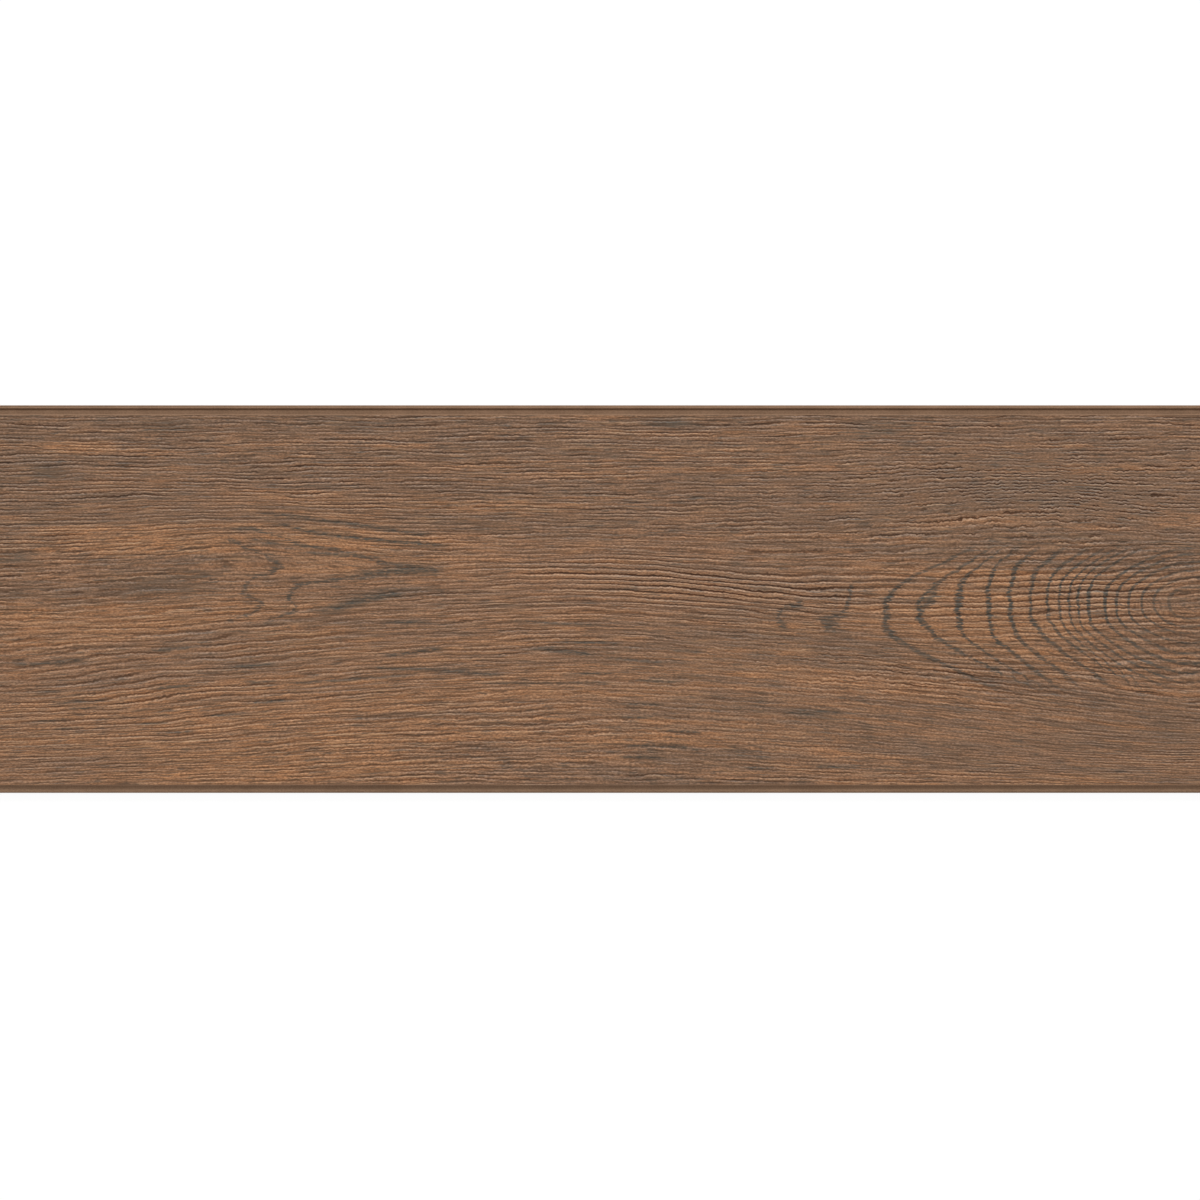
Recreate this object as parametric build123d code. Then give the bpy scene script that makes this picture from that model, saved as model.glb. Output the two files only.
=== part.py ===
from build123d import *
import math
import os

# A click-lock laminate floor plank: one pressed board with the same locking
# profile milled along all four edges. One long and one short edge carry the
# tongue, the two opposite edges carry the groove and its locking lip. The
# profile's corners are rounded on the long edges and bevelled on the short.
# Sizes are in millimetres. X runs along the plank, Y across it and Z up.
# The origin is on the underside, below the middle of the decorative face.

# The board
face_length = 1285.0        # decorative face, end to end
face_width = 192.0          # decorative face, side to side
thickness = 8.0
edge_break = 0.3            # small chamfer round the decorative face

# The tongue
tongue_depth = 2.5          # from the decorative face down to the tongue
tongue_thickness = 2.6
tongue_reach = 4.0          # past the joint plane
tip_ease = 1.2              # rounding or bevel of the tongue's tip

# The locking lip below the groove
lip_reach = 5.0             # past the joint plane
lip_floor = 1.7             # board left below the keel
lip_chamfer = 0.5           # lower outer corner of the lip
hook_height = 1.2           # above the lip floor
hook_width = 1.5            # flat top of the hook
hook_ease = 0.5             # upper outer corner of the hook
lock_angle = 50.0           # slope of the locking face, degrees

# The keel below the tongue, which drops into the lip behind the hook
keel_start = 0.5            # from the joint plane to the top of the keel's ramp
ramp_angle = 45.0           # slope of the ramp, degrees

# Room between two joined planks
fit_clearance = 0.1         # round the tongue and below the keel
lock_play = 0.05            # between the two locking faces
ramp_room = 0.3             # between the two ramps
tip_room = 0.5              # ahead of the tongue's tip
hook_room = 0.3             # above the hook
lip_room = 0.3              # ahead of the lip
groove_ease = 0.9           # inner corners of the groove
recess_ease = 0.4           # inner corner of the recess for the hook

# Heights above the underside that the two mating edges share
tongue_top = thickness - tongue_depth
tongue_bottom = tongue_top - tongue_thickness
groove_top = tongue_top + fit_clearance
groove_bottom = tongue_bottom - fit_clearance
keel_bottom = lip_floor + fit_clearance
hook_top = lip_floor + hook_height
recess_top = hook_top + hook_room

# Distances from the joint plane that the two mating edges share
groove_end = tongue_reach + tip_room
recess_end = lip_reach + lip_room
hook_crest = lip_reach - hook_width


def run(rise, angle):
    # Level distance that a slope of this angle covers over a rise
    return rise / math.tan(math.radians(angle))


def eased_corner():
    # The broken top corner of the decorative face
    return [(-edge_break, thickness), (0, thickness - edge_break)]


def groove_edge():
    # Outline of a groove edge as (distance past the joint plane, height),
    # from the decorative face down to the underside
    ramp_foot = run(groove_bottom - lip_floor, ramp_angle) - keel_start
    hook_foot = hook_crest - run(hook_height, lock_angle)
    corners = eased_corner() + [
        (0, groove_top),
        (-groove_end, groove_top),
        (-groove_end, groove_bottom),
        (-keel_start, groove_bottom),
        (ramp_foot, lip_floor),
        (hook_foot, lip_floor),
        (hook_crest, hook_top),
        (lip_reach, hook_top),
        (lip_reach, lip_chamfer),
        (lip_reach - lip_chamfer, 0),
    ]
    eased = [
        ((-groove_end, groove_top), groove_ease),
        ((-groove_end, groove_bottom), groove_ease),
        ((lip_reach, hook_top), hook_ease),
    ]
    return corners, eased


def tongue_edge():
    # Outline of a tongue edge, in the same form. The keel's ramp and locking
    # face lie on the lip's own slopes, set back by their room.
    ramp_head = keel_start - ramp_room + run(tongue_bottom - groove_bottom, ramp_angle)
    ramp_foot = ramp_head - run(tongue_bottom - keel_bottom, ramp_angle)
    lock_foot = lock_play - hook_crest + run(hook_top - keel_bottom, lock_angle)
    lock_head = lock_play - hook_crest + run(hook_top - recess_top, lock_angle)
    corners = eased_corner() + [
        (0, tongue_top),
        (tongue_reach, tongue_top),
        (tongue_reach, tongue_bottom),
        (ramp_head, tongue_bottom),
        (ramp_foot, keel_bottom),
        (lock_foot, keel_bottom),
        (lock_head, recess_top),
        (-recess_end, recess_top),
        (-recess_end, 0),
    ]
    eased = [
        ((tongue_reach, tongue_top), tip_ease),
        ((tongue_reach, tongue_bottom), tip_ease),
        ((-recess_end, recess_top), recess_ease),
    ]
    return corners, eased


def milled_section(plane, face_size, ease):
    # Section of the board between its groove edge and its tongue edge, with
    # the profile's corners eased by a fillet or a chamfer
    half = face_size / 2
    groove_corners, groove_eased = groove_edge()
    tongue_corners, tongue_eased = tongue_edge()
    groove_side = [(-half - reach, height) for reach, height in groove_corners]
    tongue_side = [(half + reach, height) for reach, height in tongue_corners]
    outline = Polyline(*tongue_side, *reversed(groove_side), close=True)
    section = make_face(outline)
    eased = [((-half - reach, height), size) for (reach, height), size in groove_eased]
    eased += [((half + reach, height), size) for (reach, height), size in tongue_eased]
    for place, size in eased:
        corner = section.vertices().sort_by_distance(Vector(*place))[0]
        section = ease(corner, size)
    return plane * section


def make_plank():
    # Each pair of edges is milled along its whole length, so the plank is
    # what the long section and the short section have in common. Where a lip
    # runs out over a keel, a crumb of its hook is cut free and falls away.
    across = milled_section(Plane.YZ, face_width, fillet)
    along = milled_section(Plane.XZ, face_length, chamfer)
    long_bar = extrude(across, amount=along.bounding_box().size.X, both=True)
    short_bar = extrude(along, amount=across.bounding_box().size.Y, both=True)
    milled = long_bar & short_bar
    return milled.solids().sort_by(SortBy.VOLUME)[-1]


os.makedirs("parts", exist_ok=True)
export_step(make_plank(), "parts/plank.step")
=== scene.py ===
import math

import bpy
import numpy as np
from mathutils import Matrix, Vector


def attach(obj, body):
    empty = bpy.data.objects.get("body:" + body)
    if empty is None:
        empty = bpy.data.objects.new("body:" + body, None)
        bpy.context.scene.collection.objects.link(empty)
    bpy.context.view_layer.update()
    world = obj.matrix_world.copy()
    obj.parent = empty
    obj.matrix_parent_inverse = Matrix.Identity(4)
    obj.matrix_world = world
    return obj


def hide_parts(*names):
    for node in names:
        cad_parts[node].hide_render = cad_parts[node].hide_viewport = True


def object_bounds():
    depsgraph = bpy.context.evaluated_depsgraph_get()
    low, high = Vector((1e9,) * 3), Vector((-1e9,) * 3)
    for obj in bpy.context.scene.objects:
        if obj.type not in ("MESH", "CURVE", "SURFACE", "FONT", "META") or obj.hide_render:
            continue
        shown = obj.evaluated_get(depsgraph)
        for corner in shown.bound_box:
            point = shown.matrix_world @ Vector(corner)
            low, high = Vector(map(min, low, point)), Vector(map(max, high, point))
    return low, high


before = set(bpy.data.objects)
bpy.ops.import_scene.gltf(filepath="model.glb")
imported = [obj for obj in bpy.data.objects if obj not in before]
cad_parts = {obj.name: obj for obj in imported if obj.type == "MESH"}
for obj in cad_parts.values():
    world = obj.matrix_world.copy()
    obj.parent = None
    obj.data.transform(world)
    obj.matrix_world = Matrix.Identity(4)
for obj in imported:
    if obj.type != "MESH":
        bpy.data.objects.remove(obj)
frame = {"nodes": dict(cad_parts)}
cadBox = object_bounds()
print("frame loaded:", ", ".join(frame["nodes"]))

mm = 0.001  # the dictionaries below are in millimetres, the scene is in metres


def linear(red, green, blue):
    # screen colour, 0 to 255, as the linear colour that a socket takes
    def channel(v):
        v = v / 255
        return v / 12.92 if v <= 0.04045 else ((v + 0.055) / 1.055) ** 2.4
    return (channel(red), channel(green), channel(blue), 1.0)


def deselectAll():
    if bpy.context.object and bpy.context.object.mode != "OBJECT":
        bpy.ops.object.mode_set(mode="OBJECT")
    bpy.ops.object.select_all(action="DESELECT")


def makeActive(obj):
    deselectAll()
    obj.select_set(True)
    bpy.context.view_layer.objects.active = obj


def pickElements(mesh, kind, wanted):
    # selects the edges or faces whose number is True in wanted, in object mode
    for name in ("vertices", "edges", "polygons"):
        items = getattr(mesh, name)
        items.foreach_set("select", np.zeros(len(items), dtype=bool))
    getattr(mesh, kind).foreach_set("select", wanted)


def placesOf(mesh):
    places = np.empty(len(mesh.vertices) * 3, dtype=np.float32)
    mesh.vertices.foreach_get("co", places)
    return places.reshape(-1, 3)


def edgeEnds(mesh):
    ends = np.empty(len(mesh.edges) * 2, dtype=np.int32)
    mesh.edges.foreach_get("vertices", ends)
    return placesOf(mesh)[ends.reshape(-1, 2)]


def faceFacts(mesh):
    centres = np.empty(len(mesh.polygons) * 3, dtype=np.float32)
    normals = np.empty(len(mesh.polygons) * 3, dtype=np.float32)
    mesh.polygons.foreach_get("center", centres)
    mesh.polygons.foreach_get("normal", normals)
    return centres.reshape(-1, 3), normals.reshape(-1, 3)


# The board: the milled plank as it comes from the frame, opened at its decor
# face and closed again by a fine sheet that can take the embossing.
board = {
    "columns": (15, 12),    # cells along the face, as two rounds of cutting
    "rows": (23, 23),       # cells across the face
    "merge": 0.01,          # points closer than this are one
    "sharp": 25,            # degrees, edges that stay crisp
    "flat": 0.5,            # degrees, faces that become one
    "level": 0.99,          # a level face has a normal at least this upright
    "finishes": {"edge": 0, "back": 1, "decor": 2},     # and their material slots
}


def openBoard(node):
    obj = bpy.data.objects.new("plankBoard", node.data.copy())
    bpy.context.scene.collection.objects.link(obj)
    obj.data.materials.clear()
    near = board["merge"] * mm
    makeActive(obj)
    bpy.ops.object.mode_set(mode="EDIT")
    bpy.ops.mesh.select_all(action="SELECT")
    bpy.ops.mesh.remove_doubles(threshold=near)
    bpy.ops.mesh.dissolve_limited(angle_limit=math.radians(board["flat"]))
    bpy.ops.mesh.select_mode(type="EDGE")
    bpy.ops.mesh.select_all(action="DESELECT")
    bpy.ops.mesh.edges_select_sharp(sharpness=math.radians(board["sharp"]))
    bpy.ops.mesh.mark_sharp()
    bpy.ops.object.mode_set(mode="OBJECT")

    mesh = obj.data
    top = placesOf(mesh)[:, 2].max()
    centres, normals = faceFacts(mesh)
    level = normals[:, 2] > board["level"]
    pickElements(mesh, "polygons", level & (centres[:, 2] > top - near))
    bpy.ops.object.mode_set(mode="EDIT")
    bpy.ops.mesh.select_mode(type="FACE")
    bpy.ops.mesh.delete(type="ONLY_FACE")
    bpy.ops.object.mode_set(mode="OBJECT")

    onTop = placesOf(mesh)
    onTop = onTop[onTop[:, 2] > top - near]
    low, high = onTop.min(0), onTop.max(0)
    for axis, rounds in ((0, board["columns"]), (1, board["rows"])):
        for cells in rounds:
            ends = edgeEnds(mesh)
            rim = (ends[:, :, 2] > top - near).all(1)
            along = np.abs(ends[:, 0, 1 - axis] - ends[:, 1, 1 - axis]) < near
            pickElements(mesh, "edges", rim & along)
            bpy.ops.object.mode_set(mode="EDIT")
            bpy.ops.mesh.select_mode(type="EDGE")
            bpy.ops.mesh.subdivide(number_cuts=cells - 1)
            bpy.ops.object.mode_set(mode="OBJECT")
    return obj, low, high


def makeSheet(low, high):
    middle = (low + high) / 2
    deselectAll()
    bpy.ops.mesh.primitive_grid_add(
        x_subdivisions=math.prod(board["columns"]),
        y_subdivisions=math.prod(board["rows"]),
        size=1, location=[float(v) for v in middle])
    sheet = bpy.context.object
    sheet.name = "decorSheet"
    sheet.scale = (float(high[0] - low[0]), float(high[1] - low[1]), 1)
    bpy.ops.object.transform_apply(location=True, rotation=True, scale=True)
    return sheet


# The figure of the decor: where the printed oak runs, in millimetres from the
# middle of the face, u to the right and v upwards as the picture shows them.
figure = {
    "knot": (305, -1),      # eye of the cathedral
    "knotEase": 14,         # how far from the eye the rings stay round
    "farStretch": 0.6,      # beyond the eye the rings are drawn out,
    "farTilt": 0.09,        # climb
    "farInk": 0.7,          # and from a little further on are fainter
    "farFrom": 20,
    "limbPower": 1.1,       # curve of the limbs above the eye
    "limbCorner": 5.5,      # rounding between a straight front and its limbs
    "farthest": 600.0,      # no ring reaches further
    # rings, by the distance of their front from the eye
    "rings": (3.6, 10.9, 18.6, 24.8, 31.6, 37.8, 43.5, 52.3, 57.5, 62.1, 67.3, 73.5,
              82.3, 92.7, 104, 119.6, 138.7, 157.3, 183.7, 212, 250),
    # shape of a ring by that distance: straight front and lean above the eye,
    # then straight front, lean and curve below it
    "ringShape": (
        (0, 3.0, 0.9, 3.0, 0.35, 1.5),
        (25, 6.5, 1.2, 5.0, 0.40, 1.5),
        (44, 10.0, 1.35, 8.5, 0.28, 1.5),
        (52, 12.5, 1.3, 9.0, 0.28, 1.5),
        (67, 12.5, 1.15, 7.5, 0.27, 1.4),
        (82, 14.5, 1.0, 10.5, 0.75, 1.15),
        (93, 17.0, 0.95, 14.5, 0.85, 1.1),
        (104, 17.0, 0.95, 16.0, 0.9, 1.1),
        (119, 10.0, 0.95, 17.5, 1.15, 1.1),
        (138, 1.0, 1.05, 14.0, 1.4, 1.1),
        (157, 4.0, 1.45, 16.5, 1.45, 1.1),
        (260, 4.0, 1.8, 16.0, 1.8, 1.1),
    ),
    # strength of a ring by that distance
    "ringInkAt": (0, 3, 8, 18, 30, 45, 90, 140, 160, 180, 215, 245),
    "ringInk": (0.0, 0.25, 0.55, 0.8, 0.9, 1.0, 1.0, 1.0, 0.95, 0.25, 0.1, 0.0),
    "ringUpper": 27,        # how far the limbs reach above and below the eye
    "ringLower": 43,
    "limbInk": 0.8,         # strength of the limbs beside that of the front
    "limbStart": 10,        # over which they take it
    # lines of the flame at the left and marks before the eye: weight of the line,
    # then its points from the top to the bottom
    "flame": (
        (1.0, (-192, 31.5), (-182.5, 26), (-173, 23.5), (-165, 18), (-170, 14), (-177.5, 12), (-183.5, 8.5),
         (-184, 3.5), (-174.5, -1.5), (-181.5, -7.5), (-192, -10.5)),
        (1.0, (-181.5, 37), (-164, 32), (-155, 28.5), (-143, 27), (-117.5, 21), (-97, 16.5), (-98, 14.5),
         (-119, 12.5), (-134, 10.5), (-155, 8.5), (-160, 4.5), (-161, 0.5), (-157, -4), (-161, -7),
         (-172, -10.5)),
        (1.5, (103, -1.3), (96.5, -4), (93, -7), (92.8, -12), (95, -15)),
        (1.0, (130, 7), (128, -4), (124, -8), (117, -11.5), (121, -16)),
        (2.6, (123, -8), (118, -11), (119, -15)),
        (2.4, (174.5, 6), (170, 1), (165.5, -4)),
    ),
    # height of the grain's arch below the middle, along the plank
    "archAt": (-643, -480, -310, -100, 0, 100, 200, 310, 450, 643),
    "arch": (6, -4, -4, 12, 14, 9, -2, -19, -12, 3),
    "archBand": (-50, 46),  # middle and half width of the band that arches
    # smaller bends: u, v, half length, half width, lift
    "bends": (
        (-190, 32, 75, 16, 8),
        (215, 44, 75, 20, 4),
        (-430, 20, 80, 25, 9),
        (470, -25, 90, 25, -10),
    ),
}

# Patches of the decor: u, v, half length, half width, tilt in degrees, strength
patches = {
    # fumed grey
    "smoky": (
        (-287, 67, 15, 6, 0, 0.8), (-303, 22, 13, 6, 0, 0.8), (-225, 19, 30, 8, -4, 0.5),
        (-226, 9, 40, 12, 0, 0.65), (-225, 90, 24, 5, 0, 0.6), (-123, 91, 32, 3.5, 0, 0.6),
        (36, 92, 15, 3.2, 0, 0.9), (142, 88, 20, 6, 0, 0.6), (-97, 14.5, 14, 3, 0, 0.6),
        (-128, -1, 16, 4.5, 12, 0.6), (119.5, -11, 5, 4, 0, 0.7), (82.5, 7, 6, 2.8, -15, 0.8),
        (295, -67, 22, 8, -4, 0.5), (225, 57, 90, 22, 0, 0.5), (-60, 68, 40, 4, 0, 0.35),
        (60, 60, 60, 8, -2, 0.3), (82, -28, 14, 2.2, 3, 0.6), (113, -60, 17, 4, -8, 0.6),
        (-240, 60, 60, 12, 0, 0.35), (-430, -40, 30, 7, 4, 0.7), (-540, 60, 40, 6, -3, 0.6),
        (-380, 85, 30, 4, 0, 0.7), (-590, -75, 35, 6, 2, 0.6), (420, 70, 45, 8, 2, 0.5),
        (540, 20, 40, 5, -3, 0.7), (480, -70, 40, 7, 4, 0.6), (600, 85, 30, 5, 0, 0.7),
    ),
    # more orange
    "warm": (
        (-240, 31, 60, 8, 0, 1.3), (-137, 32, 50, 10, -6, 1.1), (200, -12, 66, 30, 0, 0.75),
        (-245, -13, 66, 11, 2, 0.9), (-90, -60, 130, 36, 0, 0.6), (270, -93, 55, 4, 0, 0.6),
        (-270, 79, 16, 3.5, 0, 0.9), (-20, 45, 60, 4, -3, 0.4), (60, 82, 60, 5, -2, 0.4),
        (10, 4, 80, 16, -3, 0.3), (-165, -72, 100, 28, 4, 1.1), (-155, -24, 40, 13, 4, 0.9),
        (120, -80, 90, 14, -6, 0.2), (-480, 10, 70, 10, 3, 0.8), (-560, -30, 60, 9, -2, 0.6),
        (-400, 50, 50, 6, 0, 0.6), (420, -10, 60, 9, 4, 0.6), (530, 55, 70, 8, -2, 0.7),
        (590, -45, 45, 10, 2, 0.6),
    ),
    # darker and greyer
    "dusk": (
        (-60, 86, 430, 22, 0, 1.0), (235, 62, 110, 28, 0, 1.7), (-250, 55, 90, 20, 0, 0.5),
        (-75, 51, 85, 9, 0, 1.7), (78, -26, 40, 15, 0, 1.6), (150, 45, 60, 8, 0, 1.0),
        (-255, 1, 60, 8, 0, 0.9), (270, -66, 45, 8, 0, 1.1), (215, 84, 85, 12, 0, 1.7),
        (110, -75, 80, 20, 0, 0.9),
    ),
    # where the furrows run on without gaps
    "steady": (
        (240, 0, 100, 30, 0, 1.0), (55, 8, 110, 14, -3, 1.0), (170, -38, 70, 10, 4, 0.8),
    ),
    # and where they are short and ripple
    "hammered": (
        (225, 54, 115, 28, 0, 1.0), (-20, 30, 70, 8, 0, 0.4), (90, -36, 80, 14, -4, 0.9),
        (60, -60, 120, 30, -4, 0.6), (-230, -32, 100, 20, 4, 0.25),
    ),
}

# Dark marks of the print that stand by themselves
marks = {
    # strokes: half width, strength, points
    "strokes": (
        (1.0, 1.1, (-166, 39), (-140, 33.5), (-88, 28.5)),
        (0.9, 1.0, (-172, 45), (-132, 40), (-93, 34)),
        (1.0, 0.9, (-187, 38.5), (-181, 32.5), (-170, 28.5)),
        (1.0, 0.9, (-150, 24.5), (-116, 22)),
        (0.9, 0.7, (-116, 5.5), (-88, 5.5)),
        (0.8, 1.0, (-106, -11.5), (-94, -11.5)),
        (0.8, 0.8, (-43, -11), (-3, -13)),
        (1.2, 1.0, (-32, -25), (-4, -28)),
        (1.1, 1.0, (-108, -28.5), (-86, -25.5)),
        (0.9, 0.9, (-116, -35), (-87, -36), (-57, -38.5)),
        (0.9, 0.8, (-155, -43), (-100, -39)),
        (0.8, 0.7, (-56, -43), (0, -43)),
        (0.8, 0.9, (0, -22), (10, -23)),
        (0.9, 0.9, (8, -30), (30, -32)),
        (0.8, 0.9, (39, -26), (50, -27)),
        (2.4, 0.9, (-140, -5.5), (-126, -0.5), (-105, 3.5)),
        (2.4, 0.9, (-121, 13.5), (-100, 16.5), (-86, 15.5)),
        (1.3, 0.9, (97, -4), (104, -1.5)),
    ),
    # short dashes: the middle and half the length
    "dashes": (
        (-5, -22, 15), (-4, -38, 8), (30, -42, 11), (23, -54, 10), (19, -61, 5), (102, -58.5, 4),
        (120, -58, 7), (41, -68, 10), (29, -75.5, 13), (23, -81.5, 10), (81, -87, 5),
        (121, -86.5, 11), (-283, -32.5, 16), (-268, -52.5, 10), (-266, -56, 6), (-283, -62.5, 7),
        (-275, -66.5, 6), (-220, -45, 11), (-181, -34, 9), (-176, -42.5, 4), (-234, -64, 6),
        (-219, -68.5, 8), (-194, -59.5, 7), (-170, -52.5, 9), (-223, -25.5, 10), (-285, -47.5, 4),
    ),
    "dashHalf": 0.7,        # half width of a dash
    "dashInk": 0.95,
}


def patchMask(u, v, spots):
    fall = 0.7      # how fast a patch fades from its middle
    mask = np.zeros_like(u)
    for pu, pv, halfLength, halfWidth, tilt, strength in spots:
        turn = math.radians(tilt)
        along = (u - pu) * math.cos(turn) + (v - pv) * math.sin(turn)
        across = (v - pv) * math.cos(turn) - (u - pu) * math.sin(turn)
        spread = (along / halfLength) ** 2 + (across / halfWidth) ** 2
        mask = np.maximum(mask, strength * np.exp(-fall * spread))
    return mask


def strokeMask(u, v):
    mask = np.zeros_like(u)
    for halfWidth, strength, *points in marks["strokes"]:
        at, heights = zip(*points)
        past = np.maximum(np.maximum(at[0] - u, u - at[-1]), 0)
        off = v - np.interp(u, at, heights)
        ease = min(4, 0.6 + (at[-1] - at[0]) / 8)  # a long stroke runs out more softly
        mask = np.maximum(mask, strength * np.exp(-(off / halfWidth) ** 2 - (past / ease) ** 2))
    for du, dv, halfLength in marks["dashes"]:
        lean = reliefLift(u, v) - reliefLift(np.array([du]), np.array([dv]))
        past = np.maximum(np.abs(u - du) - halfLength, 0)
        near = np.exp(-((v - dv - lean) / marks["dashHalf"]) ** 2 - (past / 2) ** 2)
        mask = np.maximum(mask, marks["dashInk"] * near)
    return mask


def soften(raw, width):
    window = np.hanning(width)
    padded = np.pad(raw, width // 2, mode="edge")
    return np.convolve(padded, window / window.sum(), mode="valid")


def smoothCurve(place, at, heights):
    # a soft curve near a few given heights
    steps = 600
    width = 61
    fine = np.linspace(at[0], at[-1], steps)
    soft = soften(np.interp(fine, at, heights), width)
    return np.interp(place, fine, soft)


def grainLift(u, v):
    middle, half = figure["archBand"]
    lift = smoothCurve(u, figure["archAt"], figure["arch"]) * np.exp(-((v - middle) / half) ** 2)
    for bu, bv, halfLength, halfWidth, height in figure["bends"]:
        lift += height * np.exp(-((u - bu) / halfLength) ** 2 - ((v - bv) / halfWidth) ** 2)
    return lift


def easedReach(reach):
    ease = figure["knotEase"]
    return np.sqrt(reach ** 2 + ease ** 2) - ease


def frontReach(reach):
    ease = figure["knotEase"]
    return np.sqrt((reach + ease) ** 2 - ease ** 2)


def softPast(off):
    # zero before a corner and a slope beyond it, with the corner rounded
    corner = figure["limbCorner"]
    return (np.sqrt(off ** 2 + corner ** 2) + off) / 2


def fromEye(u, v):
    # distance from the eye along the plank and height above it
    ku, kv = figure["knot"]
    past = np.maximum(u - ku, 0)
    away = np.maximum(ku - u, 0) + past * figure["farStretch"]
    return away, v - kv - past * figure["farTilt"]


def ringReach(u, v):
    # every ring of the cathedral is a line along which the reach has one value,
    # found by halving the span that it can lie in
    front, upFlat, upLean, lowFlat, lowLean, lowCurve = np.array(figure["ringShape"]).T
    away, rise = fromEye(u, v)
    level = easedReach(away)
    off = np.abs(rise)
    above = rise > 0
    low, high = np.zeros_like(u), np.full_like(u, figure["farthest"])
    halvings = 26
    for halving in range(halvings):
        reach = (low + high) / 2
        distance = frontReach(reach)
        flat = np.where(above, np.interp(distance, front, upFlat), np.interp(distance, front, lowFlat))
        lean = np.where(above, np.interp(distance, front, upLean), np.interp(distance, front, lowLean))
        curve = np.where(above, figure["limbPower"], np.interp(distance, front, lowCurve))
        shift = lean * (softPast(off - flat) - softPast(-flat)) ** curve
        tooFar = reach - shift > level
        high = np.where(tooFar, reach, high)
        low = np.where(tooFar, low, reach)
    return low, off - flat


def ringField(u, v):
    # reach of a place, ink of the ring nearest to it, and the gap between rings there
    step = 0.2      # for the slope of the reach
    reach, past = ringReach(u, v)
    steep = np.hypot(ringReach(u + step, v)[0] - reach, ringReach(u, v + step)[0] - reach) / step
    rise = fromEye(u, v)[1]
    ink = np.interp(frontReach(reach), figure["ringInkAt"], figure["ringInk"])
    # limbs are a little fainter than the front and fade towards their ends
    fade = np.where(rise > 0, rise / figure["ringUpper"], -rise / figure["ringLower"])
    onLimb = np.clip(past / figure["limbStart"], 0, 1)
    ink = ink * np.clip(1.6 - fade ** 4, 0, 1) * (1 - (1 - figure["limbInk"]) * onLimb)
    ink = ink * np.where(u > figure["knot"][0] + figure["farFrom"], figure["farInk"], 1)
    fronts = easedReach(np.array((0,) + figure["rings"], dtype=float))
    gap = np.interp(reach, (fronts[1:] + fronts[:-1]) / 2, np.diff(fronts))
    return reach, ink, gap / np.maximum(steep, 0.2)


def flameField(u, v, weight, points):
    # side and distance of a place from one line of the flame, and the line's ink
    steps = 400
    width = 25
    far = 40        # no line is wider than this
    fade = 1.5      # past the ends of the line
    points = sorted(points, key=lambda point: point[1])
    heights = np.linspace(points[0][1], points[-1][1], steps)
    raw = np.interp(heights, [p[1] for p in points], [p[0] for p in points])
    line = soften(raw, width)
    slope = np.gradient(line, heights)
    past = np.maximum(np.maximum(heights[0] - v, v - heights[-1]), 0)
    side = (u - np.interp(v, heights, line)) / np.hypot(1, np.interp(v, heights, slope))
    return np.clip(side, -far, far) / weight, np.exp(-(past / fade) ** 2)


# The embossing: shallow furrows pressed along the plank, in a coarse and a fine
# comb of lines.
relief = {
    "seed": 5,
    "rim": 1.5,             # the relief dies out towards the face's edges
    "deepest": 0.30,
    "reach": 660,           # furrows start and end this far from the middle
    "spacing": 2.0,         # between the points at which a furrow's strength is kept
    "taper": 5,             # over which a furrow runs out
    # how the lines lean, along the plank, in the lower half and along the middle
    "lowLeanAt": (-643, -450, -310, -100, 0, 100, 200, 310, 450, 643),
    "lowLean": (-6, -12, -17, 0, 3, -3, -9, -10, -8, -6),
    "lowBand": (-48, 44),
    "midLeanAt": (-643, -300, -100, 0, 110, 180, 310, 450, 643),
    "midLean": (0, 0, 1, 4, -3.5, -4.5, 3, 6, 0),
    "midBand": (2, 30),
    # and how they bow over the flame and the eye: u, v, half length, half width, lift
    "bows": ((-190, 34, 80, 20, 3), (215, 46, 70, 20, 5), (330, -64, 110, 26, -12)),
}
coarseComb = {
    "pitch": 3.0,           # between two furrows
    "half": 0.75,           # half width of a furrow
    "depth": 0.28,
    "dash": (22, 110),      # length of a furrow and of the gap after it
    "gap": (1, 10),
    "press": (0.7, 1.0),    # how strongly a furrow is pressed
    "even": 0.9,            # and how strongly at least where the lines are steady
    # slow waves of the lines: length along, length across, height, turn
    "waves": ((95, 43, 0.5, 0.4), (41, 19, 0.15, 2.0), (27, 40, 0.22, 1.3), (180, 60, 0.9, 4.1),
              (1e6, 11, 0.32, 1.0), (1e6, 6.3, 0.13, 3.0)),
    "base": 0.30,           # strength of the comb outside its patches
    "patches": (
        (240, 0, 105, 30, 0, 1.1), (55, 8, 130, 17, -3, 1.3), (-225, -44, 160, 46, 5, 0.85),
        (-60, -68, 150, 24, 0, 0.75), (180, -40, 80, 14, 4, 1.0), (-300, -84, 90, 10, 0, 0.7),
        (30, -58, 110, 30, -3, 0.6),
        (-490, 20, 120, 50, 0, 0.8), (500, 10, 110, 60, 0, 0.8),
    ),
    "calm": (
        (-170, 20, 60, 14, 0, 0.8), (302, -5, 18, 20, 0, 0.25), (225, 62, 120, 24, 0, 0.85),
        (268, -36, 50, 16, -25, 0.6), (-190, 66, 150, 24, 0, 0.7), (185, -70, 55, 14, -4, 0.6),
    ),
}
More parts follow.
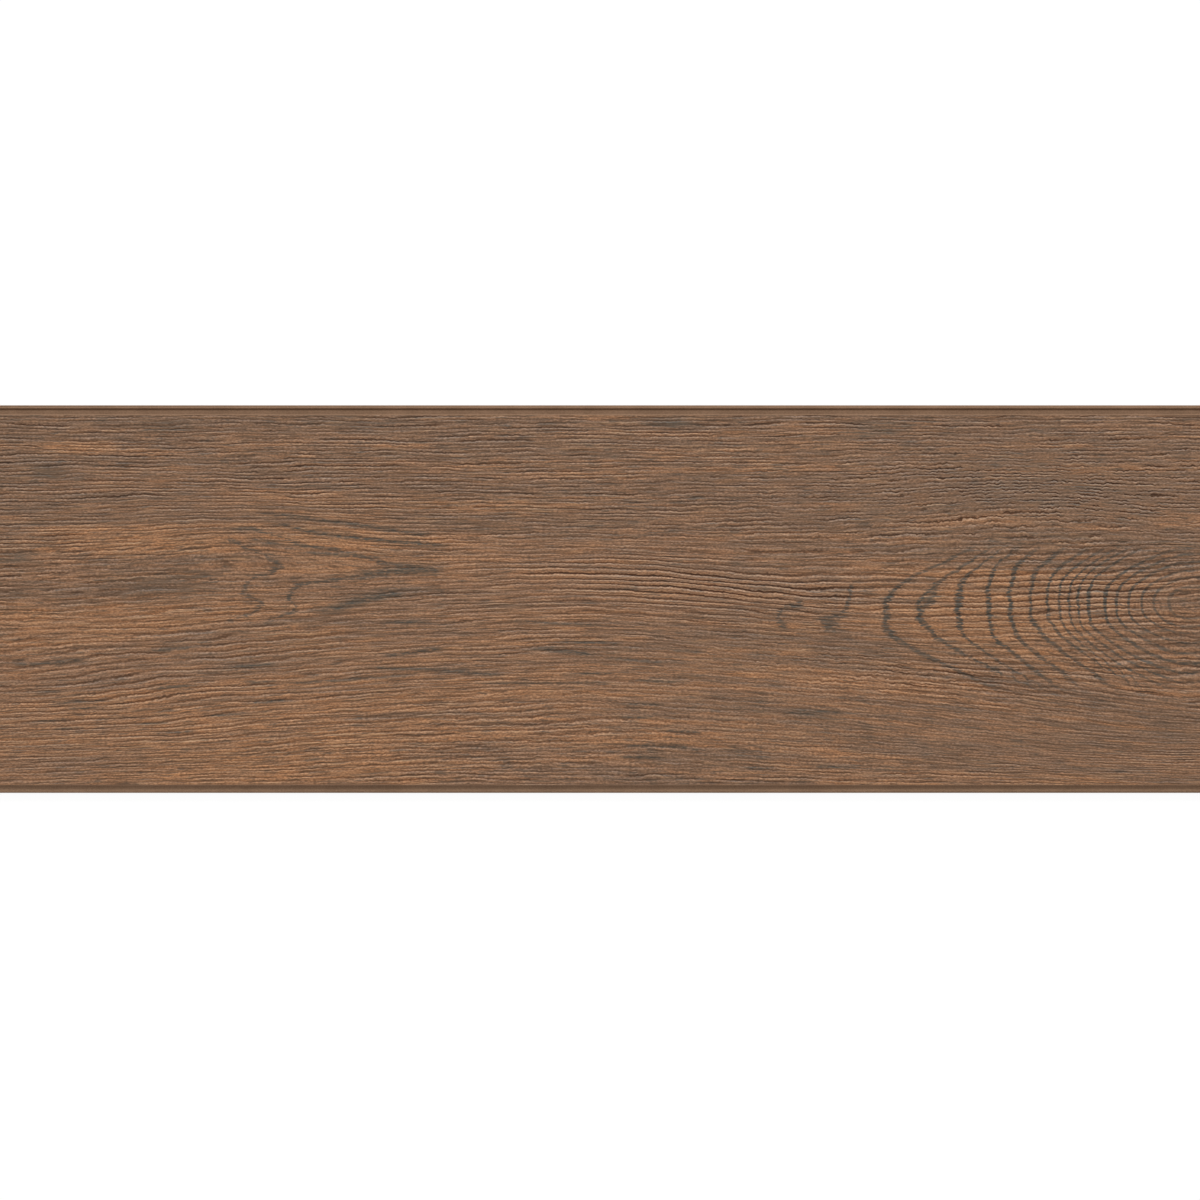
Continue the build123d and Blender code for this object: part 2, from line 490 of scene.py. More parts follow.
fineComb = {
    "pitch": 2.0,
    "half": 0.60,
    "depth": 0.12,
    "dash": (16, 70),
    "gap": (1, 8),
    "press": (0.55, 1.0),
    "even": 0.0,
    "waves": ((60, 30, 0.25, 0.0), (24, 35, 0.16, 0.7), (33, 12, 0.12, 2.6), (150, 50, 0.6, 1.1),
              (1e6, 7.3, 0.22, 0.3), (1e6, 4.1, 0.1, 2.0)),
    "base": 0.9,
    "patches": (
        (-190, 66, 150, 24, 0, 1.0), (20, 66, 120, 20, 0, 0.9), (-60, 30, 100, 12, -4, 0.9),
        (0, -80, 200, 14, 0, 0.8), (230, 58, 110, 26, 0, 1.4),
    ),
    "calm": (
        (228, -4, 90, 25, 0, 0.75), (-170, 20, 70, 15, -4, 0.65), (40, 11, 100, 13, -2, 0.85),
        (-225, -44, 140, 42, 5, 0.7), (50, -56, 105, 30, -3, 0.65), (190, -70, 65, 15, -5, 0.65),
        (258, -56, 50, 13, -10, 0.5),
    ),
}


def reliefLift(u, v):
    lift = 0
    for name in ("low", "mid"):
        middle, half = relief[name + "Band"]
        curve = smoothCurve(u, relief[name + "LeanAt"], relief[name + "Lean"])
        lift = lift + curve * np.exp(-((v - middle) / half) ** 2)
    for bu, bv, halfLength, halfWidth, height in relief["bows"]:
        lift = lift + height * np.exp(-((u - bu) / halfLength) ** 2 - ((v - bv) / halfWidth) ** 2)
    return lift


def combField(u, v, comb, draw):
    # number of lines up to a place, and how strongly its own line is pressed there
    across = v - reliefLift(u, v)
    for alongLength, acrossLength, height, turn in comb["waves"]:
        across = across + height * np.sin(2 * math.pi * (u / alongLength + v / acrossLength) + turn)
    phase = across / comb["pitch"]
    phase -= math.floor(phase.min())
    row = np.floor(phase).astype(int)
    at = np.arange(-relief["reach"], relief["reach"] + 1, relief["spacing"])
    press = np.zeros((row.max() + 1, len(at)))
    for line in press:
        start = at[0] - draw.uniform(*comb["dash"])
        while start < at[-1]:
            length = draw.uniform(*comb["dash"])
            taper = np.minimum(at - start, start + length - at) / relief["taper"]
            line[:] = np.maximum(line, np.clip(taper, 0, 1) * draw.uniform(*comb["press"]))
            start += length + draw.uniform(*comb["gap"])
    column = np.clip(((u - at[0]) / relief["spacing"]).astype(int), 0, len(at) - 1)
    strength = np.maximum(patchMask(u, v, comb["patches"]), comb["base"])
    strength = strength * (1 - patchMask(u, v, comb["calm"]))
    even = comb["even"] * patchMask(u, v, patches["steady"])
    return phase, np.maximum(press[row, column], even) * strength


def furrows(phase, press, comb):
    away = (phase - np.floor(phase) - 0.5) * comb["pitch"]
    return comb["depth"] * press * np.exp(-(away / comb["half"]) ** 2)


def setField(mesh, name, values):
    field = mesh.attributes.new(name=name, type="FLOAT", domain="POINT")
    field.data.foreach_set("value", np.ascontiguousarray(values, dtype=np.float32).ravel())


def embossSheet(sheet):
    mesh = sheet.data
    places = placesOf(mesh)
    u, v = -places[:, 0].astype(float) / mm, -places[:, 1].astype(float) / mm
    draw = np.random.default_rng(relief["seed"])
    depth = np.zeros_like(u)
    for name, comb in (("coarse", coarseComb), ("fine", fineComb)):
        phase, press = combField(u, v, comb, draw)
        depth = np.maximum(depth, furrows(phase, press, comb))
        setField(mesh, name + "Phase", phase)
        setField(mesh, name + "Press", press)
    toRim = np.minimum(u.max() - np.abs(u), v.max() - np.abs(v))
    depth = np.minimum(depth, relief["deepest"]) * np.clip(toRim / relief["rim"], 0, 1)
    places[:, 2] -= depth * mm
    mesh.vertices.foreach_set("co", places.ravel())
    mesh.update()
    reach, ink, gap = ringField(u, v)
    setField(mesh, "grainLift", grainLift(u, v))
    setField(mesh, "ringReach", reach)
    setField(mesh, "ringInk", ink)
    setField(mesh, "ringGap", gap)
    for number, (weight, *points) in enumerate(figure["flame"]):
        side, inked = flameField(u, v, weight, points)
        setField(mesh, "flameSide%d" % number, side)
        setField(mesh, "flameInk%d" % number, inked)
    for name, spots in patches.items():
        setField(mesh, name, patchMask(u, v, spots))
    setField(mesh, "stroke", strokeMask(u, v))
    print("decor sheet embossed:", len(mesh.vertices), "points")


# Small helpers for shader trees
class Tree:
    def __init__(self, name):
        self.material = bpy.data.materials.new(name)
        self.material.use_nodes = True
        self.nodes = self.material.node_tree.nodes
        self.links = self.material.node_tree.links
        self.nodes.clear()

    def add(self, kind, inputs=None, **settings):
        node = self.nodes.new(kind)
        for name, value in settings.items():
            setattr(node, name, value)
        for name, value in (inputs or {}).items():
            if isinstance(value, bpy.types.NodeSocket):
                self.links.new(value, node.inputs[name])
            else:
                node.inputs[name].default_value = value
        return node

    def calc(self, operation, *values):
        return self.add("ShaderNodeMath", dict(enumerate(values)), operation=operation).outputs[0]

    def weigh(self, first, second, shares):
        first = self.calc("MULTIPLY", first, shares[0])
        second = self.calc("MULTIPLY", second, shares[1])
        return self.calc("ADD", first, second)

    def field(self, name):
        return self.add("ShaderNodeAttribute", attribute_name=name).outputs["Fac"]

    def blend(self, factor, first, second, mode="MIX"):
        inputs = {0: factor, 6: first, 7: second}
        return self.add("ShaderNodeMix", inputs, data_type="RGBA", blend_type=mode).outputs[2]

    def ramp(self, value, low, high, first=0.0, last=1.0):
        inputs = dict(enumerate((value, low, high, first, last)))
        return self.add("ShaderNodeMapRange", inputs, interpolation_type="SMOOTHSTEP").outputs[0]

    def finish(self, colour, roughness, specular, height, bump):
        # bump is its strength, and its height in millimetres
        strength, distance = bump
        bumped = self.add("ShaderNodeBump", {
            "Strength": strength, "Distance": distance * mm, "Height": height})
        shader = self.add("ShaderNodeBsdfPrincipled", {
            "Base Color": colour, "Roughness": roughness, "Specular IOR Level": specular,
            "Normal": bumped.outputs[0]})
        self.add("ShaderNodeOutputMaterial", {"Surface": shader.outputs[0]})
        return self.material


# The decor: an oak print, painted in layers, with the furrows pressed into it and painted shade and painted
# highlights along them
decor = {
    "base": linear(145, 108, 81),
    "dusk": linear(132, 101, 78),       # darker, greyer streaks
    "amber": linear(163, 117, 82),      # orange-brown streaks
    "straw": linear(184, 142, 104),     # thin light fibres
    "smoke": linear(88, 80, 69),        # fumed grey patches
    "ink": linear(70, 68, 60),          # pores and rings
    "vein": linear(92, 67, 47),         # thin printed lines
    "cool": (0.94, 1.0, 1.07, 1),       # the hue wanders between these two
    "rosy": (1.05, 0.99, 0.91, 1),
    "pressed": (0.22, 0.14, 0.06, 1),   # painted shade in a furrow, with some printed stain
    "paintedLipHighlight": (1.62, 1.95, 2.40, 1),    # and the painted highlight on its lower lip
    "roughness": 0.55,
    "roughSpread": 0.07,
    "specular": 0.25,
    "bump": (0.5, 0.08),
    "speckHeight": 0.3,                 # beside the depth of a furrow
    # noise that the layers are mixed from: length along the plank and width across
    # it in millimetres, detail, roughness, seed
    "streaks": {
        "sway": (12, 5, 2, 0.6, 61.0),
        "broad": (230, 15, 3, 0.55, 3.1),
        "band": (80, 3.2, 3, 0.55, 8.4),
        "fine": (22, 0.85, 2, 0.6, 1.7),
        "speck": (1.5, 0.6, 2, 0.6, 71.0),
        "hue": (22, 2.6, 3, 0.7, 77.0),
        "swarm": (60, 8, 2, 0.5, 21.0),
        "pores": (11, 0.7, 1.5, 0.5, 33.0),
        "fibres": (20, 0.75, 1.5, 0.5, 12.3),
        "veinBend": (70, 6, 1, 0.5, 15.0),
        "veinGaps": (18, 1.0, 2, 0.6, 27.0),
        "jag": (7, 0.75, 1, 0.5, 40.0),
        "drift": (26, 8, 2, 0.5, 44.0),
        "ringWidth": (30, 14, 1, 0.5, 47.0),
        "flameWidth": (16, 7, 1, 0.5, 53.0),
        "broken": (3.2, 0.75, 1, 0.5, 50.0),
        "ripple": (6, 9, 1.5, 0.5, 87.0),
        "tremble": (2.2, 3.0, 1, 0.5, 89.0),
        "coarseGaps": (40, 1.0, 2, 0.6, 91.0),
        "fineGaps": (16, 1.0, 2, 0.6, 91.0),
        "shortGaps": (7, 1.0, 1, 0.5, 95.0),
    },
    "noiseSpan": (0.3, 0.7),            # most of a noise lies between these
    "sway": 2.2,                        # how far the grain sways
    # tone of the wood
    "toneShare": (0.6, 0.7),            # of the broad streaks and of the bands
    "warmPull": 0.3,                    # how far the patches move the tone
    "duskPull": 0.25,
    "warmFrom": (0.62, 0.98),           # tones over which a streak turns warm or dusky
    "duskFrom": (0.66, 0.46),
    "fineTone": (0.91, 1.09),           # brightness of the fine streaks and the specks
    "speckTone": (0.64, 1.36),
    "hueFrom": (0.32, 0.68),
    # fumed patches
    "smokeBreak": (1.4, 0.6),           # how fine streaks and bands break them up
    "smokeFrom": (0.3, 0.95),
    "smokeCover": 0.75,
    # pores and fibres
    "swarmPull": 0.3,
    "poreFrom": (0.72, 0.80),
    "poreCover": 0.5,
    "fibreFrom": (0.61, 0.70),
    "fibreCover": 0.3,
    "fibreWarm": 0.3,                   # more of them where the wood is warm
    # thin lines
    "veinPitch": 1.4,
    "veinBend": 2.5,
    "veinStep": 3.91,                   # between lines in the noise, so that each has its own gaps
    "veinHalf": (0.36, 0.2),            # half width, outside and inside its soft edge
    "veinFrom": (0.44, 0.56),
    "veinPress": (0.2, 1.0),            # from plain wood to strong furrows
    "veinCover": (0.72, 0.3),
    "veinHammered": 0.45,
    # rings and flame
    "ringWander": (4.0, 5.0),           # by jags and by drift
    "ringLoose": (0, 150, 0.25, 1.6),   # from this reach to that, and how much of it there
    "ringWidth": (0.75, 1.2),
    "widthByGap": (2, 11, 0.75, 1.5),   # rings are wider where they stand apart,
    "broadByGap": (13, 18, 0, 0.9),     # and the outermost more so
    "ringEdge": (1.0, 0.45),            # soft edge of a line, in shares of its width
    "flameEdge": (1.0, 0.4),
    "flameWander": (5.0, 3.0),
    "flameWidth": (0.35, 0.65, 0.6, 1.8),
    "flameInk": 0.8,
    "brokenInk": (0.38, 0.52, 0.45, 1.0),
    "figureCover": 0.92,
    # furrows
    "furrowSway": 0.35,                 # how far they sway with the grain
    "ripple": 2.2,
    "tremble": (0.9, 1.7),              # in plain wood and where it looks hammered
    "shorten": 0.7,
    "gapStep": 5.37,                    # as for the thin lines
    "gapFrom": (0.30, 0.44),
    "shortStep": 7.71,
    "shortFrom": (0.48, 0.38),
    "sunk": (0.75, 0.35),               # soft edge of a furrow, in shares of its half width
    "lipAt": 1.15,                      # place and soft edge of its lip, which takes a painted highlight
    "lip": (0.62, 0.25),
    "lipHighlightCover": 0.9,
}


class DecorTree(Tree):
    # the decor's own tree, which knows how the grain runs
    def __init__(self, name):
        super().__init__(name)
        place = self.add("ShaderNodeTexCoord").outputs["Object"]
        spot = self.add("ShaderNodeSeparateXYZ", {0: place})
        self.u = self.calc("MULTIPLY", spot.outputs[0], -1 / mm)
        self.v = self.calc("MULTIPLY", spot.outputs[1], -1 / mm)
        self.sway = self.calc("MULTIPLY", self.waver("sway"), decor["sway"])
        self.grain = self.calc("ADD", self.calc("SUBTRACT", self.v, self.field("grainLift")), self.sway)
        self.band = self.streaks("band", self.grain)
        self.fine = self.streaks("fine", self.grain)
        self.speck = self.streaks("speck", self.grain)

    def streaks(self, name, across):
        length, width, detail, rough, seed = decor["streaks"][name]
        place = self.add("ShaderNodeCombineXYZ", {
            0: self.calc("DIVIDE", self.u, length),
            1: self.calc("DIVIDE", across, width),
            2: seed}).outputs[0]
        return self.add("ShaderNodeTexNoise", {
            "Vector": place, "Scale": 1.0, "Detail": detail, "Roughness": rough}).outputs["Fac"]

    def waver(self, name):
        # noise about zero, by which a line strays
        return self.calc("SUBTRACT", self.streaks(name, self.v), 0.5)


def tintWood(t):
    # broad tone with warm and dusky streaks, fine streaks, specks and a wandering hue
    tone = t.weigh(t.streaks("broad", t.grain), t.band, decor["toneShare"])
    warm = t.calc("ADD", t.calc("MULTIPLY", t.field("warm"), decor["warmPull"]), tone)
    dusk = t.calc("SUBTRACT", tone, t.calc("MULTIPLY", t.field("dusk"), decor["duskPull"]))
    colour = t.blend(t.ramp(dusk, *decor["duskFrom"]), decor["base"], decor["dusk"])
    colour = t.blend(t.ramp(warm, *decor["warmFrom"]), colour, decor["amber"])
    fine = t.ramp(t.fine, *decor["noiseSpan"], *decor["fineTone"])
    speck = t.ramp(t.speck, *decor["noiseSpan"], *decor["speckTone"])
    tone = t.calc("MULTIPLY", fine, speck)
    tone = t.add("ShaderNodeCombineXYZ", {0: tone, 1: tone, 2: tone}).outputs[0]
    colour = t.blend(1.0, colour, tone, "MULTIPLY")
    hue = t.ramp(t.streaks("hue", t.grain), *decor["hueFrom"])
    return t.blend(1.0, colour, t.blend(hue, decor["cool"], decor["rosy"]), "MULTIPLY")


def fumePatches(t, colour):
    smoky = t.field("smoky")
    for streak, amount in zip((t.fine, t.band), decor["smokeBreak"]):
        smoky = t.calc("ADD", smoky, t.calc("MULTIPLY", t.calc("SUBTRACT", streak, 0.5), amount))
    smoky = t.ramp(smoky, *decor["smokeFrom"])
    return t.blend(t.calc("MULTIPLY", smoky, decor["smokeCover"]), colour, decor["smoke"])


def strewPores(t, colour):
    # short dashes in loose swarms, and light fibres between them
    swarm = t.calc("MULTIPLY", t.streaks("swarm", t.grain), decor["swarmPull"])
    pores = t.ramp(t.calc("ADD", t.streaks("pores", t.grain), swarm), *decor["poreFrom"])
    colour = t.blend(t.calc("MULTIPLY", pores, decor["poreCover"]), colour, decor["ink"])
    fibres = t.ramp(t.streaks("fibres", t.grain), *decor["fibreFrom"])
    warm = t.calc("MULTIPLY", t.field("warm"), decor["fibreWarm"])
    fibres = t.calc("MULTIPLY", fibres, t.calc("ADD", warm, decor["fibreCover"]))
    return t.blend(fibres, colour, decor["straw"])


def drawVeins(t, colour):
    # thin lines that follow the grain, each with its own gaps
    pitch = decor["veinPitch"]
    bend = t.calc("MULTIPLY", t.streaks("veinBend", t.v), decor["veinBend"])
    lines = t.calc("ADD", t.calc("DIVIDE", t.grain, pitch), bend)
    row = t.calc("MULTIPLY", t.calc("FLOOR", lines), decor["veinStep"])
    off = t.calc("ABSOLUTE", t.calc("SUBTRACT", t.calc("FRACT", lines), 0.5))
    vein = t.ramp(t.calc("MULTIPLY", off, pitch), *decor["veinHalf"])
    for cover in (
            t.ramp(t.streaks("veinGaps", row), *decor["veinFrom"]),
            t.ramp(t.field("coarsePress"), *decor["veinPress"], *decor["veinCover"]),
            t.ramp(t.field("hammered"), 0, 1, 1.0, decor["veinHammered"])):
        vein = t.calc("MULTIPLY", vein, cover)
    return t.blend(vein, colour, decor["vein"])


def countRings(t, reach):
    # a curve with a point for each ring turns the reach into a number of rings
    fronts = [0.0] + [float(easedReach(ring)) for ring in figure["rings"]]
    span = fronts[-1]
    curve = t.add("ShaderNodeFloatCurve", {"Value": t.calc("DIVIDE", reach, span)})
    points = curve.mapping.curves[0].points
    for index, front in enumerate(fronts[1:-1]):
        points.new(front / span, (index + 1) / (len(fronts) - 1))
    for point in points:
        point.handle_type = "VECTOR"
    curve.mapping.update()
    return t.calc("MULTIPLY", curve.outputs[0], float(len(fronts) - 1))


def drawFigure(t, colour):
    # rings of the cathedral, lines of the flame and single marks, as rows of short dashes
    jag = t.waver("jag")
    drift = t.waver("drift")
    loose = t.ramp(t.field("ringReach"), *decor["ringLoose"])
    wander = t.calc("MULTIPLY", t.weigh(jag, drift, decor["ringWander"]), loose)
    turn = countRings(t, t.calc("ADD", t.field("ringReach"), wander))
    gap = t.field("ringGap")
    near = t.calc("ABSOLUTE", t.calc("SUBTRACT", t.calc("FRACT", t.calc("ADD", turn, 0.5)), 0.5))
    near = t.calc("MULTIPLY", near, gap)
    width = t.ramp(t.streaks("ringWidth", t.v), *decor["noiseSpan"], *decor["ringWidth"])
    wider = t.calc("ADD", t.ramp(gap, *decor["broadByGap"]), t.ramp(gap, *decor["widthByGap"]))
    width = t.calc("MULTIPLY", width, wider)
    drawn = t.ramp(t.calc("DIVIDE", near, width), *decor["ringEdge"])
    drawn = t.calc("MULTIPLY", drawn, t.field("ringInk"))

    stray = t.weigh(jag, drift, decor["flameWander"])
    thick = t.ramp(t.streaks("flameWidth", t.v), *decor["flameWidth"])
    for number in range(len(figure["flame"])):
        away = t.calc("ABSOLUTE", t.calc("ADD", t.field("flameSide%d" % number), stray))
        line = t.ramp(t.calc("DIVIDE", away, thick), *decor["flameEdge"])
        line = t.calc("MULTIPLY", line, t.field("flameInk%d" % number))
        drawn = t.calc("MAXIMUM", drawn, t.calc("MULTIPLY", line, decor["flameInk"]))
    drawn = t.calc("MAXIMUM", drawn, t.field("stroke"))
    broken = t.ramp(t.streaks("broken", t.v), *decor["brokenInk"])
    drawn = t.calc("MULTIPLY", drawn, broken)
    return t.blend(t.calc("MULTIPLY", drawn, decor["figureCover"]), colour, decor["ink"])


def combLines(t, name, comb, stray):
    # how far a place lies in a furrow of the comb, which takes painted shade, and on the lip below it,
    # which takes a painted highlight
    phase = t.calc("ADD", t.field(name + "Phase"), t.calc("DIVIDE", stray, comb["pitch"]))
    row = t.calc("FLOOR", phase)
    away = t.calc("MULTIPLY", t.calc("SUBTRACT", t.calc("FRACT", phase), 0.5), comb["pitch"])
    kept = t.streaks(name + "Gaps", t.calc("MULTIPLY", row, decor["gapStep"]))
    kept = t.ramp(kept, *decor["gapFrom"])
    kept = t.calc("MAXIMUM", kept, t.field("steady"))
    short = t.streaks("shortGaps", t.calc("MULTIPLY", row, decor["shortStep"]))
    short = t.ramp(short, *decor["shortFrom"])
    short = t.calc("MULTIPLY", short, t.calc("MULTIPLY", t.field("hammered"), decor["shorten"]))
    kept = t.calc("MULTIPLY", kept, t.calc("SUBTRACT", 1.0, short))
    kept = t.calc("MULTIPLY", kept, t.field(name + "Press"))
    half = comb["half"]
    sunk = t.ramp(t.calc("ABSOLUTE", away), *[share * half for share in decor["sunk"]])
    lower = t.calc("ABSOLUTE", t.calc("ADD", away, decor["lipAt"] * half))
    lit = t.ramp(lower, *[share * half for share in decor["lip"]])
    return t.calc("MULTIPLY", sunk, kept), t.calc("MULTIPLY", lit, kept)


def paintFurrowShading(t, colour):
    # each furrow gets painted shade, with some printed stain, and the lip below it a painted highlight, and
    # where the plank looks hammered the furrows are short and ripple
    hammered = t.field("hammered")
    ripple = t.calc("MULTIPLY", t.waver("ripple"), t.calc("MULTIPLY", hammered, decor["ripple"]))
    tremble = t.calc("MULTIPLY", t.waver("tremble"), t.ramp(hammered, 0, 1, *decor["tremble"]))
    stray = t.calc("ADD", t.calc("MULTIPLY", t.sway, decor["furrowSway"]), ripple)
    stray = t.calc("ADD", stray, tremble)
    coarseSunk, coarseLit = combLines(t, "coarse", coarseComb, stray)
    fineSunk, fineLit = combLines(t, "fine", fineComb, stray)
    sunk = t.calc("MAXIMUM", coarseSunk, fineSunk)
    lit = t.calc("MAXIMUM", coarseLit, fineLit)
    lit = t.calc("MULTIPLY", lit, t.calc("SUBTRACT", 1.0, sunk))
    # painted highlight on the lips below the furrows
    colour = t.blend(t.calc("MULTIPLY", lit, decor["lipHighlightCover"]), colour, decor["paintedLipHighlight"], "MULTIPLY")
    # painted shade in the furrows, with some printed stain
    return t.blend(sunk, colour, decor["pressed"], "MULTIPLY"), sunk


def makeDecor():
    t = DecorTree("oakDecor")
    colour = tintWood(t)
    for paint in (fumePatches, strewPores, drawVeins, drawFigure):
        colour = paint(t, colour)
    colour, sunk = paintFurrowShading(t, colour)
    spread = decor["roughSpread"]
    rough = t.ramp(t.fine, 0.2, 0.8, decor["roughness"] - spread, decor["roughness"] + spread)
    height = t.calc("SUBTRACT", t.calc("MULTIPLY", t.speck, decor["speckHeight"]), sunk)
    return t.finish(colour, rough, decor["specular"], height, decor["bump"])


# The two plain finishes: pressed fibre at the milled edges and paper underneath
edge = {
    "name": "pressedFibre",
    "pale": linear(154, 122, 97),
    "dark": linear(135, 106, 83),
    "speck": (1400.0, 3.0),     # scale and detail of the specks and of the clouds
    "cloud": (60.0, 2.0),
    "share": (0.6, 0.4),        # of specks and clouds in the colour
    "from": (0.35, 0.65),       # dark below the first, pale above the second
    "roughness": 0.8,
    "specular": 0.2,
    "bump": (0.25, 0.05),
}
backing = {
    "name": "backingPaper",
    "pale": linear(150, 124, 96),
    "dark": linear(132, 107, 82),
    "speck": (900.0, 4.0),
    "cloud": (14.0, 4.0),
    "share": (0.5, 0.5),
    "from": (0.35, 0.65),
    "roughness": 0.7,
    "specular": 0.25,
    "bump": (0.2, 0.03),
}


def makePlain(plain):
    t = Tree(plain["name"])
    place = t.add("ShaderNodeTexCoord").outputs["Object"]
    noise = {}
    for name in ("speck", "cloud"):
        scale, detail = plain[name]
        inputs = {"Vector": place, "Scale": scale, "Detail": detail}
        noise[name] = t.add("ShaderNodeTexNoise", inputs).outputs["Fac"]
    mixed = t.weigh(noise["speck"], noise["cloud"], plain["share"])
    colour = t.blend(t.ramp(mixed, *plain["from"]), plain["dark"], plain["pale"])
    return t.finish(colour, plain["roughness"], plain["specular"], noise["speck"], plain["bump"])


def dressBoard(obj, sheet):
    mesh = obj.data
    finishes = board["finishes"]
    for material in (makePlain(edge), makePlain(backing), makeDecor()):
        mesh.materials.append(material)
        sheet.data.materials.append(material)
    centres, normals = faceFacts(mesh)
    under = (normals[:, 2] < -board["level"]) & (centres[:, 2] < board["merge"] * mm)
    wears = np.where(under, finishes["back"], finishes["edge"]).astype(np.int32)
    mesh.polygons.foreach_set("material_index", wears)
    wears = np.full(len(sheet.data.polygons), finishes["decor"], dtype=np.int32)
    sheet.data.polygons.foreach_set("material_index", wears)
    print("finishes made:", ", ".join(slot.name for slot in mesh.materials))


def closeBoard(obj, sheet):
    makeActive(obj)
    sheet.select_set(True)
    bpy.ops.object.join()
    bpy.ops.object.mode_set(mode="EDIT")
    bpy.ops.mesh.select_mode(type="VERT")
    bpy.ops.mesh.select_all(action="SELECT")
    bpy.ops.mesh.remove_doubles(threshold=board["merge"] * mm)
    bpy.ops.mesh.select_all(action="DESELECT")
    bpy.ops.mesh.select_non_manifold()
    bpy.ops.object.mode_set(mode="OBJECT")
    loose = sum(v.select for v in obj.data.vertices)
    bpy.ops.object.shade_smooth()
    triangles = sum(len(p.vertices) - 2 for p in obj.data.polygons)
    print("board closed:", triangles, "triangles,", loose, "open points")


# The map of the board's colours: the decor face as two long strips above each
# other, then the underside and below it the edges.
sheetMap = {
    "name": "OFBake",
    "span": (0.004, 0.996),
    "upperStrip": (0.598, 0.996),
    "lowerStrip": (0.194, 0.592),
    "underside": (0.098, 0.188),
    "edges": (0.004, 0.092),
    "foldAngle": 66,        # degrees, edges are cut apart at sharper folds
    "margin": 0.004,
}


def layOutMap(obj):
    makeActive(obj)
    mesh = obj.data
    finishes = board["finishes"]
    layer = mesh.uv_layers.new(name=sheetMap["name"])
    mesh.uv_layers.active = layer
    wears = np.empty(len(mesh.polygons), dtype=np.int32)
    mesh.polygons.foreach_get("material_index", wears)
    pickElements(mesh, "polygons", wears == finishes["edge"])
    bpy.ops.object.mode_set(mode="EDIT")
    bpy.ops.mesh.select_mode(type="FACE")
    bpy.ops.uv.smart_project(
        angle_limit=math.radians(sheetMap["foldAngle"]),
        island_margin=sheetMap["margin"], scale_to_bounds=True)
    bpy.ops.object.mode_set(mode="OBJECT")

    layer = mesh.uv_layers[sheetMap["name"]]
    flat = np.empty(len(mesh.loops) * 2, dtype=np.float32)
    layer.data.foreach_get("uv", flat)
    flat = flat.reshape(-1, 2)
    corner = np.empty(len(mesh.loops), dtype=np.int32)
    mesh.loops.foreach_get("vertex_index", corner)
    places = placesOf(mesh)[corner, :2]
    sizes = np.empty(len(mesh.polygons), dtype=np.int32)
    mesh.polygons.foreach_get("loop_total", sizes)
    loopWears = np.repeat(wears, sizes)
    rightHalf = np.repeat(faceFacts(mesh)[0][:, 0] > 0, sizes)
    onDecor = loopWears == finishes["decor"]
    strips = (
        (loopWears == finishes["edge"], "edges", flat),
        (loopWears == finishes["back"], "underside", places),
        (onDecor & ~rightHalf, "upperStrip", places),
        (onDecor & rightHalf, "lowerStrip", places),
    )
    for picked, name, source in strips:
        part = source[picked]
        part = (part - part.min(0)) / (part.max(0) - part.min(0))
        left, right = sheetMap["span"]
        low, high = sheetMap[name]
        flat[picked, 0] = left + part[:, 0] * (right - left)
        flat[picked, 1] = low + part[:, 1] * (high - low)
    layer.data.foreach_set("uv", flat.ravel())
    print("map laid out:", len(flat), "corners")


node = frame["nodes"]["plank"]
plankBoard, faceLow, faceHigh = openBoard(node)
print("board opened, decor face", (faceHigh - faceLow)[:2] / mm, "mm")
decorSheet = makeSheet(faceLow, faceHigh)
embossSheet(decorSheet)
dressBoard(plankBoard, decorSheet)
closeBoard(plankBoard, decorSheet)
layOutMap(plankBoard)
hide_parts("plank")
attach(plankBoard, "root")


# The set: a white floor, soft light from the far side and a long lens above.
setting = {
    "window": 621.2,        # length of plank that the picture shows
    "lens": 150,
    "sensor": 36,
    "clipEnd": 50,          # metres, as are the sizes and places below
    "floor": 12,
    "floorDrop": 0.0002,    # the floor lies this far below the plank
    "floorGrey": 0.8,
    "shadow": 0.12,         # how much of the floor's own shading the picture keeps
    "glow": 1.06,
    "key": 40,              # watts
    "keySize": (2.4, 0.7),
    "keyDistance": 2.6,
    "keyElevation": 48,     # degrees
    "fill": 6,
    "fillSize": (2.4, 1.2),
    "fillPlace": (0, 1.2, 2.2),
    "world": 0.46,
}


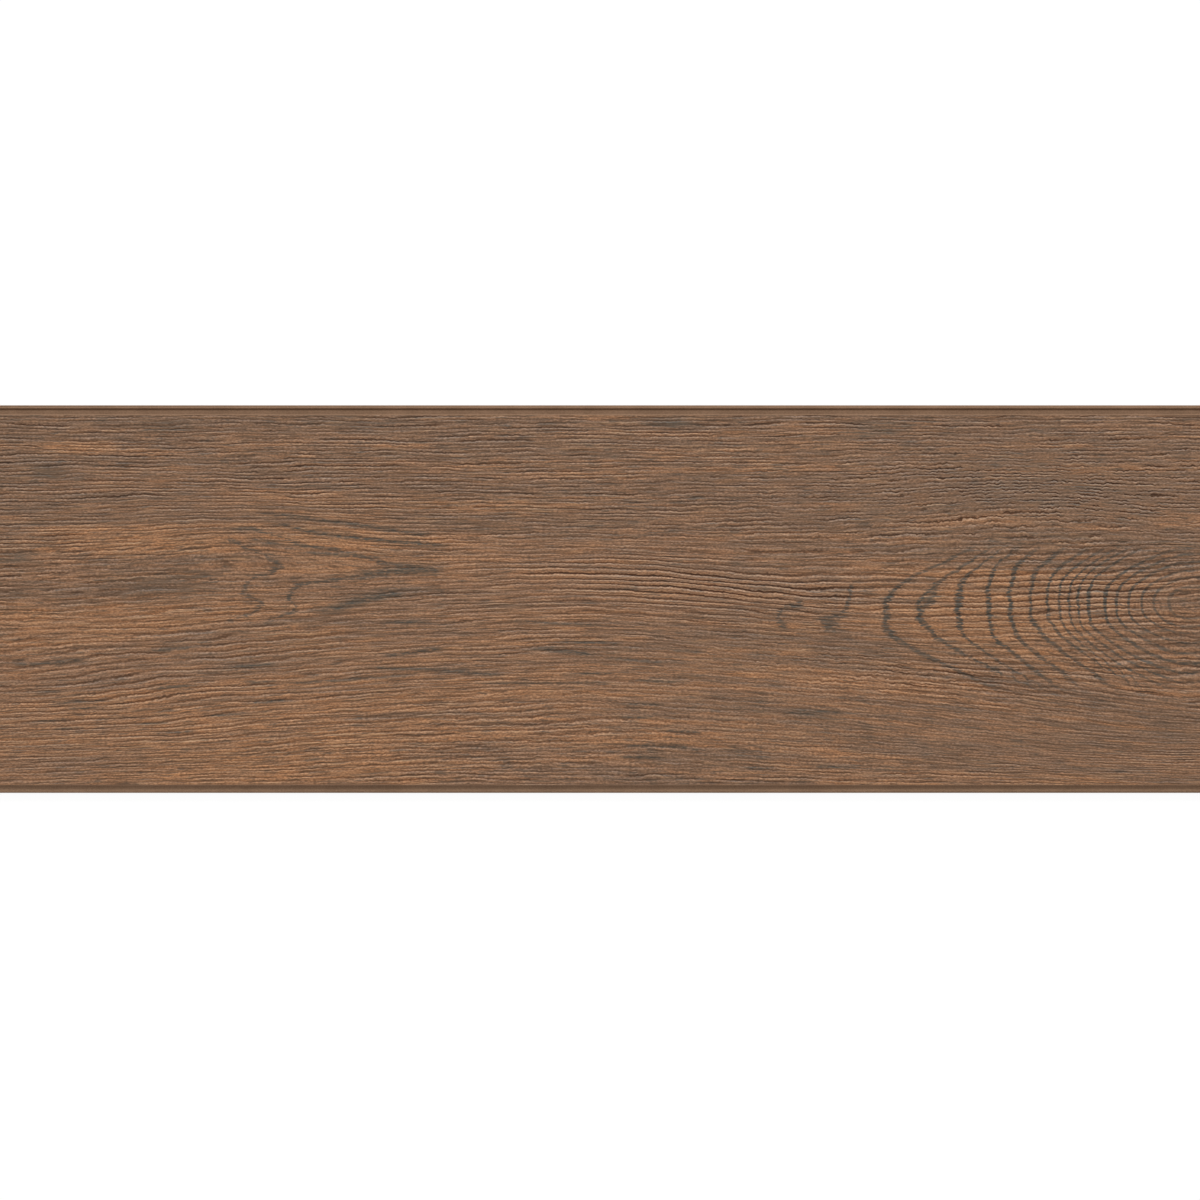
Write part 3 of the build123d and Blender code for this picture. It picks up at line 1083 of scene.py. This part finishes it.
def makeFloor():
    deselectAll()
    bpy.ops.mesh.primitive_plane_add(size=setting["floor"], location=(0, 0, -setting["floorDrop"]))
    floor = bpy.context.object
    floor.name = "floor"
    t = Tree("floorWhite")
    path = t.add("ShaderNodeLightPath")
    seen = t.calc("MAXIMUM", path.outputs["Is Camera Ray"],
                  t.calc("MAXIMUM", path.outputs["Is Glossy Ray"], path.outputs["Is Transmission Ray"]))
    grey = setting["floorGrey"]
    matt = t.add("ShaderNodeBsdfDiffuse", {"Color": (grey, grey, grey, 1)})
    glow = t.add("ShaderNodeEmission", {"Color": (1, 1, 1, 1), "Strength": setting["glow"]})
    share = t.calc("MULTIPLY", seen, 1 - setting["shadow"])
    mix = t.add("ShaderNodeMixShader", {0: share, 1: matt.outputs[0], 2: glow.outputs[0]})
    t.add("ShaderNodeOutputMaterial", {"Surface": mix.outputs[0]})
    floor.data.materials.append(t.material)


def addArea(name, watts, size, place):
    deselectAll()
    light = bpy.data.lights.new(name, "AREA")
    light.energy = watts
    light.shape = "RECTANGLE"
    light.size, light.size_y = size
    lamp = bpy.data.objects.new(name, light)
    bpy.context.scene.collection.objects.link(lamp)
    lamp.location = place
    aim = -lamp.location
    lamp.rotation_euler = aim.to_track_quat("-Z", "Y").to_euler()


def lightScene():
    world = bpy.data.worlds.new("studio")
    bpy.context.scene.world = world
    world.use_nodes = True
    back = world.node_tree.nodes["Background"]
    back.inputs["Color"].default_value = (1, 1, 1, 1)
    back.inputs["Strength"].default_value = setting["world"]
    tilt = math.radians(setting["keyElevation"])
    far = setting["keyDistance"]
    keyPlace = (0, -far * math.cos(tilt), far * math.sin(tilt))
    addArea("keyLight", setting["key"], setting["keySize"], keyPlace)
    addArea("fillLight", setting["fill"], setting["fillSize"], setting["fillPlace"])


def addCamera():
    width = setting["window"] * mm
    top = cadBox[1][2]
    away = width * setting["lens"] / setting["sensor"]
    lens = bpy.data.cameras.new("camera")
    lens.sensor_width = setting["sensor"]
    lens.lens = setting["lens"]
    lens.clip_end = setting["clipEnd"]
    camera = bpy.data.objects.new("camera", lens)
    bpy.context.scene.collection.objects.link(camera)
    camera.location = (0, 0, top + away)
    camera.rotation_euler = (0, 0, math.pi)
    bpy.context.scene.camera = camera


makeFloor()
lightScene()
addCamera()
bpy.context.scene.view_settings.view_transform = "Standard"
print("floor, lights and camera set")
